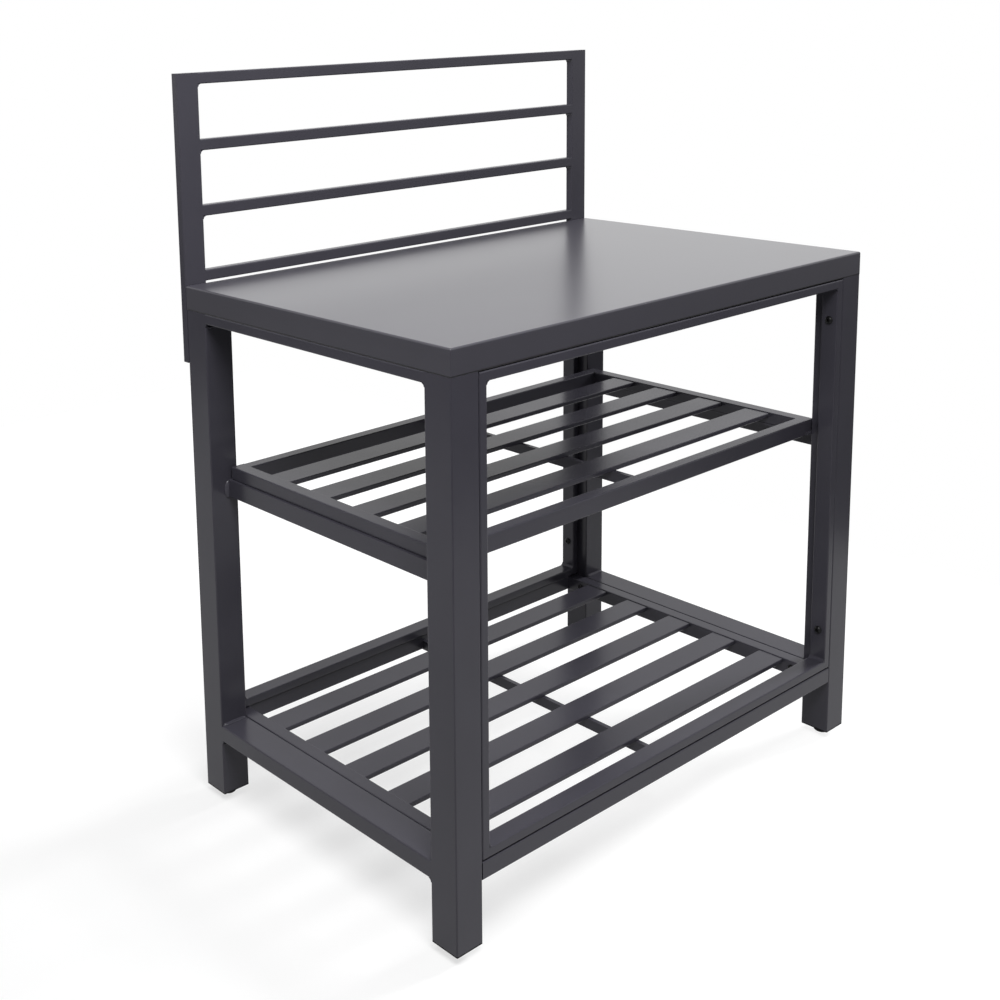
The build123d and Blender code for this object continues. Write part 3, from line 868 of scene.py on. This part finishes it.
@dataclass
class LevellingFeet(SubAssembly):
    """Four screw feet: a bowl with a ribbed rim for the fingers on a threaded stem."""

    title = "levelling feet"
    bowl_height: float = 0.014
    round_radius: float = 0.0075
    round_steps: int = 12
    edge_radius: float = 0.0006
    edge_steps: int = 5
    edge_gap: float = 0.0002
    dish_depth: float = 0.0004
    dish_middle: float = 0.0004
    dish_share: float = 0.7
    collar: float = 0.0012
    stem_radius: float = 0.004
    thread_pitch: float = 0.00125
    thread_depth: float = 0.0007
    thread_steps: float = 8.0
    thread_start: float = 0.0015
    thread_fade: float = 0.001
    point_length: float = 0.001
    point_depth: float = 0.0007
    ribs: int = 24
    rib_depth: float = 0.0007
    rib_start: float = 0.0035
    rib_fade: float = 0.0015
    rib_share: float = 0.8
    around: int = 96

    def bowl(self, radius: float) -> tuple[np.ndarray, np.ndarray, np.ndarray]:
        """Work out the bowl's outline.

        From the middle of the dished sole it runs out, turns up in a quarter circle of the round radius,
        goes up the rim and comes back over the flat top with a small round edge.

        Args:
            radius: radius of the bowl.

        Returns:
            The outline's radii, its heights, and how much of the ribs each station has.
        """
        turn = np.linspace(0.0, QUARTER_TURN, self.round_steps)
        edge_turn = np.linspace(0.0, QUARTER_TURN, self.edge_steps)
        sole = radius - self.round_radius
        shoulder = self.bowl_height - self.edge_radius
        radii = np.concatenate(
            (
                [self.dish_middle, sole * self.dish_share],
                sole + self.round_radius * np.sin(turn),
                [radius],
                radius - self.edge_radius + self.edge_radius * np.cos(edge_turn),
                [self.stem_radius + self.collar],
            )
        )
        heights = np.concatenate(
            (
                [self.dish_depth, self.dish_depth],
                self.round_radius * (1.0 - np.cos(turn)),
                [shoulder - self.edge_gap],
                shoulder + self.edge_radius * np.sin(edge_turn),
                [self.bowl_height],
            )
        )
        on_rim = radii > radius * self.rib_share
        ribbed = np.clip((heights - self.rib_start) / self.rib_fade, 0.0, 1.0) * on_rim
        return radii, heights, ribbed

    def patch(self, centre_x: float, centre_y: float, radius: float, low: float, high: float) -> Patch:
        """Work out one foot's surface.

        The bowl's outline turns about the upright axis; on its rim the radius loses half the rib depth
        times one minus the cosine of the ribs' number times the angle. The stem above it has the stem
        radius, less the thread depth times a triangle wave of height over pitch minus the angle over one
        turn, and narrows to a point at its end.

        Args:
            centre_x: the axis along X.
            centre_y: the axis along Y.
            radius: radius of the bowl.
            low: height of the sole.
            high: height of the stem's end.

        Returns:
            The closed surface of bowl and stem.
        """
        angle = np.linspace(0.0, FULL_TURN, self.around, endpoint=False)
        radii, heights, ribbed = self.bowl(radius)
        groove = 0.5 * self.rib_depth * (1.0 - np.cos(self.ribs * angle))
        bowl = radii[:, None] - ribbed[:, None] * groove[None, :]
        stem_heights = np.arange(self.bowl_height, high - low, self.thread_pitch / self.thread_steps)
        turns = stem_heights[:, None] / self.thread_pitch - angle[None, :] / FULL_TURN
        triangle = np.abs(2.0 * (turns - np.floor(turns)) - 1.0)
        threaded = stem_heights - self.bowl_height - self.thread_start
        run_in = np.clip(threaded / self.thread_fade, 0.0, 1.0)
        point = 1.0 - np.clip((high - low - stem_heights) / self.point_length, 0.0, 1.0)
        thread = run_in[:, None] * self.thread_depth * triangle
        stem = self.stem_radius - thread - point[:, None] * self.point_depth
        reach = np.concatenate((bowl, stem))
        height = low + np.concatenate((heights, stem_heights))
        x = centre_x + reach * np.cos(angle)[None, :]
        y = centre_y + reach * np.sin(angle)[None, :]
        return Patch(np.stack((x, y, np.broadcast_to(height[:, None], reach.shape)), axis=-1))

    def build(self) -> list[bpy.types.Object]:
        """Make the four feet in place of their plain nodes.

        Returns:
            The four pieces.
        """
        pieces = []
        for row in Row:
            for side in Side:
                corner = f"{row.value}_{side.value}"
                low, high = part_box(f"levelling_foot_{corner}")
                centre_x, centre_y = (low.x + high.x) / 2.0, (low.y + high.y) / 2.0
                patch = self.patch(centre_x, centre_y, (high.x - low.x) / 2.0, low.z, high.z)
                piece = surface_piece(f"screw_foot_{corner}", [patch], f"foot_{corner}")
                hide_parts(f"levelling_foot_{corner}")
                RACK.dress_piece(piece, FOOT_PLASTIC)
                pieces.append(piece)
        return pieces

    def dress(self) -> None:
        """Give the plain nodes under the feet the same plastic."""
        nodes = [f"levelling_foot_{row.value}_{side.value}" for row in Row for side in Side]
        RACK.dress_nodes(nodes, FOOT_PLASTIC)


@dataclass
class Fasteners(SubAssembly):
    """Button head bolts, rivet nuts and the washers under the worktop."""

    title = "fasteners"
    bolts: tuple[str, ...] = ("frame_bolts", "lower_shelf_bolts", "backsplash_bolts", "worktop_bolts")

    def dress(self) -> None:
        """Give the bolts, nuts and washers their finishes."""
        RACK.dress_nodes(self.bolts, BLACK_STEEL)
        RACK.dress_nodes(["rivet_nuts"], ZINC)
        RACK.dress_nodes(["worktop_spacers"], BLACK_PLASTIC)


def stand(
    name: str,
    thing: bpy.types.Light | bpy.types.Camera,
    place: Sequence[float],
    axes: Sequence[np.ndarray],
) -> bpy.types.Object:
    """Stand a lamp or the camera in the scene.

    Args:
        name: the object's name.
        thing: the lamp or the camera.
        place: where it stands.
        axes: its right, up and back unit vectors; it looks away from the last.

    Returns:
        The object.
    """
    matrix = np.eye(4)
    matrix[:3, :3] = np.stack(axes, axis=1)
    matrix[:3, 3] = place
    holder = bpy.data.objects.new(name, thing)
    holder.matrix_world = Matrix(matrix.tolist())
    bpy.context.scene.collection.objects.link(holder)
    return holder


def level_axes(back: np.ndarray) -> tuple[np.ndarray, np.ndarray, np.ndarray]:
    """Work out a lamp's axes.

    Args:
        back: unit vector from what it looks at to the lamp.

    Returns:
        The level right axis, the up axis square to both, and the back axis.
    """
    right = np.cross((0.0, 0.0, 1.0), back)
    right /= np.linalg.norm(right)
    return right, np.cross(back, right), back


@dataclass(frozen=True)
class SoftLamp:
    """A wide, far lamp that lights everything evenly from one side and leaves no glint on folded edges.

    Attributes:
        name: the lamp's name.
        bearing: degrees from the +X axis towards +Y at which the lamp stands.
        rise: degrees at which it stands above the horizon.
        spread: degrees across its disc, which makes its shadows soft.
        level: its strength.
        distance: how far from the origin it hangs, which has no effect on its light.
    """

    name: str
    bearing: float
    rise: float
    spread: float
    level: float
    distance: float = 5.0

    def build(self) -> None:
        """Hang the lamp so that it looks from its bearing and rise to the origin."""
        lamp = bpy.data.lights.new(self.name, "SUN")
        lamp.energy = self.level
        lamp.angle = math.radians(self.spread)
        bearing, rise = np.radians((self.bearing, self.rise))
        flat = math.cos(rise)
        back = np.array((flat * math.cos(bearing), flat * math.sin(bearing), math.sin(rise)))
        holder = stand(self.name, lamp, back * self.distance, level_axes(back))
        holder.visible_glossy = False
        LOG.info("lamp %s", self.name)


@dataclass(frozen=True)
class SoftBox:
    """A square lamp near the table, brighter on what stands nearer to it.

    Attributes:
        name: the lamp's name.
        place: middle of its face.
        target: the point that it looks at.
        width: length of its sides.
        power: its power in watts.
    """

    name: str
    place: Vector3
    target: Vector3
    width: float
    power: float

    def build(self) -> None:
        """Hang the lamp so that it looks from its place to its target."""
        lamp = bpy.data.lights.new(self.name, "AREA")
        lamp.energy = self.power
        lamp.size = self.width
        back = np.array(self.place) - np.array(self.target)
        stand(self.name, lamp, self.place, level_axes(back / np.linalg.norm(back)))
        LOG.info("lamp %s", self.name)


@dataclass
class Studio:
    """White sheet on the floor, a white surround above the horizon, soft lamps and the camera.

    Attributes:
        floor_low: lowest X and Y of the sheet.
        floor_high: highest X and Y of it.
        floor_drop: gap between the sheet and the feet, which keeps their faces apart.
        floor_colour: colour of the sheet.
        floor_glow: glow of the sheet where it is seen, also in the table's gloss.
        seen_glow: what the camera sees on top of that, near the glow's middle and far from it.
        glow_reach: distances from the glow's middle between which that changes.
        glow_middle: the point that these distances start from.
        surround: level at which the surround lights the table.
        surround_tint: tint of that light.
        room_floor: level of the surround below the horizon in the table's gloss.
        horizon: upright parts of a ray's direction between which the surround turns from floor to white.
        camera_place: where the camera stands.
        camera_turn: degrees by which it turns about the vertical.
        camera_dip: degrees by which it looks below the horizon.
        camera_roll: degrees by which it rolls about its view.
        sensor_width: width of its sensor in millimetres.
        lens: its focal length in millimetres.
        shift: its shift, as shares of the picture.
        lamps: the lamps.
    """

    floor_low: Span = (-2.3, -1.6)
    floor_high: Span = (1.35, 2.6)
    floor_drop: float = 0.0005
    floor_colour: Colour = (0.3, 0.3, 0.3)
    floor_glow: float = 0.67
    seen_glow: Span = (0.0, 0.17)
    glow_reach: Span = (0.5, 1.1)
    glow_middle: Vector3 = (-0.8, 0.1, 0.0)
    surround: float = 0.15
    surround_tint: Colour = (0.97, 0.985, 1.0)
    room_floor: float = 0.15
    horizon: Span = (-0.16, -0.01)
    camera_place: Vector3 = (-1.75664, -1.60864, 1.34374)
    camera_turn: float = -38.782
    camera_dip: float = 9.895
    camera_roll: float = -1.594
    sensor_width: float = 36.0
    lens: float = 50.615
    shift: Span = (0.18407, -0.24401)
    lamps: tuple[SoftLamp | SoftBox, ...] = (
        SoftLamp("key_right", bearing=-8.0, rise=26.0, spread=15.0, level=3.6),
        SoftLamp("rim_rear", bearing=105.0, rise=10.0, spread=30.0, level=1.0),
        SoftBox("fill_front", (-0.95, -1.4, 2.5), (0.0, 0.0, 0.8), width=0.9, power=44.0),
        SoftBox("fill_left", (-1.5, -0.2, 2.4), (0.0, 0.0, 0.8), width=0.8, power=20.0),
        SoftBox("top", (0.05, 0.0, 3.2), (0.0, 0.0, 0.0), width=2.2, power=10.0),
    )

    def camera_rays(self, nodes: Nodes) -> Socket:
        """Add the test for camera rays and give its socket."""
        return nodes.add("ShaderNodeLightPath").outputs["Is Camera Ray"]

    def seen_rays(self, nodes: Nodes) -> Socket:
        """Add the test for rays that show the background.

        Args:
            nodes: the tree that gets the nodes.

        Returns:
            The socket that is 1 for camera, glossy and transmission rays and 0 for the rest.
        """
        path = nodes.add("ShaderNodeLightPath").outputs
        shown = nodes.reckon("MAXIMUM", path["Is Camera Ray"], path["Is Glossy Ray"])
        return nodes.reckon("MAXIMUM", shown, path["Is Transmission Ray"])

    def surround_level(self, nodes: Nodes) -> Socket:
        """Add the brightness of the surround as the table's gloss shows it.

        It is 1 above the horizon and falls to the level of the room's floor below it, in a smooth step
        over the upright part of the ray's direction.

        Args:
            nodes: the world's tree.

        Returns:
            The socket of the brightness, 1 for all camera rays.
        """
        parts = nodes.add("ShaderNodeSeparateXYZ")
        nodes.join(nodes.add("ShaderNodeTexCoord").outputs["Generated"], parts.inputs["Vector"])
        level = nodes.carry(parts.outputs["Z"], self.horizon, (self.room_floor, 1.0), smooth=True)
        return nodes.reckon("MAXIMUM", self.camera_rays(nodes), level)

    def build_world(self) -> None:
        """Make the surround: white where it is seen, a plain grey level where it lights."""
        world = bpy.data.worlds.new("surround")
        bpy.context.scene.world = world
        world.use_nodes = True
        nodes = Nodes(world.node_tree)
        output = nodes.add("ShaderNodeOutputWorld")
        mix = nodes.add("ShaderNodeMixShader")
        light = nodes.add("ShaderNodeBackground")
        light.inputs["Color"].default_value = (*self.surround_tint, 1.0)
        light.inputs["Strength"].default_value = self.surround
        white = nodes.add("ShaderNodeBackground")
        white.inputs["Color"].default_value = (1.0, 1.0, 1.0, 1.0)
        nodes.join(self.surround_level(nodes), white.inputs["Strength"])
        nodes.join(self.seen_rays(nodes), mix.inputs["Fac"])
        nodes.join(light.outputs["Background"], mix.inputs[1])
        nodes.join(white.outputs["Background"], mix.inputs[2])
        nodes.join(mix.outputs["Shader"], output.inputs["Surface"])

    def glow_level(self, nodes: Nodes) -> Socket:
        """Add the floor's glow.

        For the camera it rises in a smooth step over the distance from a point left of the table,
        so that shadows show there and the sheet ends in white.

        Args:
            nodes: the floor material's tree.

        Returns:
            The socket of the glow.
        """
        reach = nodes.add("ShaderNodeVectorMath")
        reach.operation = "DISTANCE"
        reach.inputs[1].default_value = self.glow_middle
        nodes.join(nodes.add("ShaderNodeTexCoord").outputs["Object"], reach.inputs[0])
        level = nodes.carry(reach.outputs["Value"], self.glow_reach, self.seen_glow, smooth=True)
        return nodes.reckon("MULTIPLY_ADD", level, self.camera_rays(nodes), self.floor_glow)

    def floor_material(self) -> bpy.types.Material:
        """Make the floor's material: pale and matt, with a glow where it is seen."""
        material = bpy.data.materials.new("pale_floor")
        material.use_nodes = True
        nodes = Nodes(material.node_tree)
        output = nodes.add("ShaderNodeOutputMaterial")
        matt = nodes.add("ShaderNodeBsdfDiffuse")
        matt.inputs["Color"].default_value = (*self.floor_colour, 1.0)
        glow = nodes.add("ShaderNodeEmission")
        strength = nodes.reckon("MULTIPLY", self.seen_rays(nodes), self.glow_level(nodes))
        nodes.join(strength, glow.inputs["Strength"])
        total = nodes.add("ShaderNodeAddShader")
        nodes.join(matt.outputs["BSDF"], total.inputs[0])
        nodes.join(glow.outputs["Emission"], total.inputs[1])
        nodes.join(total.outputs["Shader"], output.inputs["Surface"])
        return material

    def build_floor(self) -> None:
        """Lay the floor, one quad under the feet, on which only shadow shows."""
        x, y = np.meshgrid(*zip(self.floor_low, self.floor_high), indexing="ij")
        corners = np.stack((x, y, np.full_like(x, -self.floor_drop)), axis=-1).reshape(-1, 3)
        mesh = bpy.data.meshes.new("floor")
        mesh.from_pydata(corners.tolist(), [], [(0, 2, 3, 1)])
        mesh.materials.append(self.floor_material())
        floor = bpy.data.objects.new("floor", mesh)
        bpy.context.scene.collection.objects.link(floor)
        LOG.info("stage floor")

    def build_camera(self) -> None:
        """Set the camera at the photograph's place.

        Its forward axis turns by camera_turn about the vertical and dips by camera_dip below the horizon;
        the right and up axes then roll about it.
        """
        turn, dip, roll = np.radians((self.camera_turn, self.camera_dip, self.camera_roll))
        flat = math.cos(dip)
        forward = np.array((-math.sin(turn) * flat, math.cos(turn) * flat, -math.sin(dip)))
        level = np.array((math.cos(turn), math.sin(turn), 0.0))
        above = np.cross(level, forward)
        right = math.cos(roll) * level + math.sin(roll) * above
        up = -math.sin(roll) * level + math.cos(roll) * above
        camera = bpy.data.cameras.new("camera")
        camera.sensor_width = self.sensor_width
        camera.lens = self.lens
        camera.shift_x, camera.shift_y = self.shift
        bpy.context.scene.camera = stand("camera", camera, self.camera_place, (right, up, -forward))
        LOG.info("camera")

    def build(self) -> None:
        """Set up the view, the surround, the floor, the lamps and the camera."""
        bpy.context.scene.view_settings.view_transform = "Standard"
        self.build_world()
        self.build_floor()
        for lamp in self.lamps:
            lamp.build()
        self.build_camera()


def main() -> None:
    """Build and dress the table's sub-assemblies in order, then the studio round them."""
    logging.basicConfig(level=logging.INFO, format="%(message)s")
    groups: tuple[SubAssembly, ...] = (
        Worktop(),
        EndFrames(),
        BoltedFrames(),
        SlattedShelf("lower_shelf", 5, "frame"),
        SlattedShelf("mid_shelf", 4, "mid_shelf"),
        Backsplash(),
        LevellingFeet(),
        Fasteners(),
    )
    for group in groups:
        pieces = group.build()
        group.dress()
        LOG.info("%s: %d new pieces", group.title, len(pieces))
    Studio().build()


if __name__ == "__main__":
    main()
